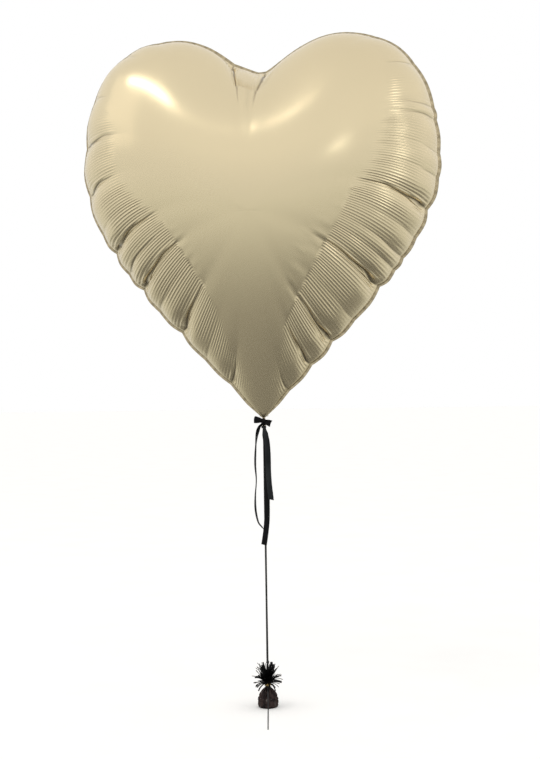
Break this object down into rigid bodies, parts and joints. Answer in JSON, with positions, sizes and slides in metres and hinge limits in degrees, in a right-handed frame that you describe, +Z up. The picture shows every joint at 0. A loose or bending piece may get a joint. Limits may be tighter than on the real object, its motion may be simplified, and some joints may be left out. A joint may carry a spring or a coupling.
{
  "type": "heart-shaped foil balloon",
  "caption": "Inflated heart-shaped foil balloon with a gathered neck, satin bow and tails, held by a flat ribbon tether to a foil-wrapped, fringed weight standing on the floor.",
  "frame": {"origin": "centre of the weight's base, on the floor", "axes": "+Z up the tether, -Y the front of the heart, X across the heart"},
  "size_m": [0.7818, 0.3769, 1.4492],
  "materials": {
    "balloon_film": "satin champagne metallised film",
    "clear_film": "clear valve film",
    "black_satin": "woven satin ribbon",
    "curling_ribbon": "ribbed curling ribbon",
    "black_foil": "crinkled metallised film",
    "fringe_foil": "cut metallised film",
    "gold_tie": "bright metallised tie",
    "iron_slug": "raw cast iron"
  },
  "bodies": {
    "weight": {"weight_wrap": "black_foil", "weight_core": "iron_slug", "gold_tie": "gold_tie", "fringe_lower": "fringe_foil", "fringe_middle": "fringe_foil", "fringe_upper": "fringe_foil", "tether_root": "curling_ribbon", "tether_tail": "curling_ribbon"},
    "anchor": {"anchor_knot": "curling_ribbon"},
    "tether": {"tether": "curling_ribbon", "tether_hitch": "curling_ribbon"},
    "bow": {"neck_rope": "balloon_film", "ribbon_binding": "black_satin", "bow_knot": "black_satin", "bow_loop_left": "black_satin", "bow_loop_right": "black_satin"},
    "short_tail": {"short_tail": "black_satin"},
    "long_tail": {"long_tail": "black_satin"},
    "side_strand": {"side_strand": "black_satin"},
    "neck": {"neck_gather": "balloon_film"},
    "heart": {"front_panel": "balloon_film", "rear_panel": "balloon_film", "filling_tail": "balloon_film", "valve_film": "clear_film"}
  },
  "joints": [
    {"name": "tether_lean_side", "type": "hinge", "parent": "weight", "child": "anchor", "pos_m": [0, 0, 0.0965], "axis": [0, 1, 0], "range_deg": [-30, 30], "stiffness_Nm_per_rad": 3},
    {"name": "tether_lean_fore", "type": "hinge", "parent": "anchor", "child": "tether", "pos_m": [0, 0, 0.0965], "axis": [1, 0, 0], "range_deg": [-30, 30], "stiffness_Nm_per_rad": 3},
    {"name": "heart_twist", "type": "hinge", "parent": "tether", "child": "bow", "pos_m": [0, 0, 0.605], "axis": [0, 0, 1], "continuous": true},
    {"name": "heart_tilt", "type": "hinge", "parent": "bow", "child": "neck", "pos_m": [0, 0, 0.6198], "axis": [0, 1, 0], "range_deg": [-25, 25], "stiffness_Nm_per_rad": 1.5},
    {"name": "heart_nod", "type": "hinge", "parent": "neck", "child": "heart", "pos_m": [0, 0, 0.6198], "axis": [1, 0, 0], "range_deg": [-20, 20], "stiffness_Nm_per_rad": 1.5},
    {"name": "short_tail_swing", "type": "hinge", "parent": "bow", "child": "short_tail", "pos_m": [0.0025, -0.0124, 0.603], "axis": [1, 0, 0], "range_deg": [-50, 0]},
    {"name": "long_tail_swing", "type": "hinge", "parent": "bow", "child": "long_tail", "pos_m": [0.0005, -0.0076, 0.603], "axis": [0, 1, 0], "range_deg": [-40, 0]},
    {"name": "side_strand_swing", "type": "hinge", "parent": "bow", "child": "side_strand", "pos_m": [-0.0105, -0.006, 0.6], "axis": [0, 1, 0], "range_deg": [0, 45]}
  ]
}
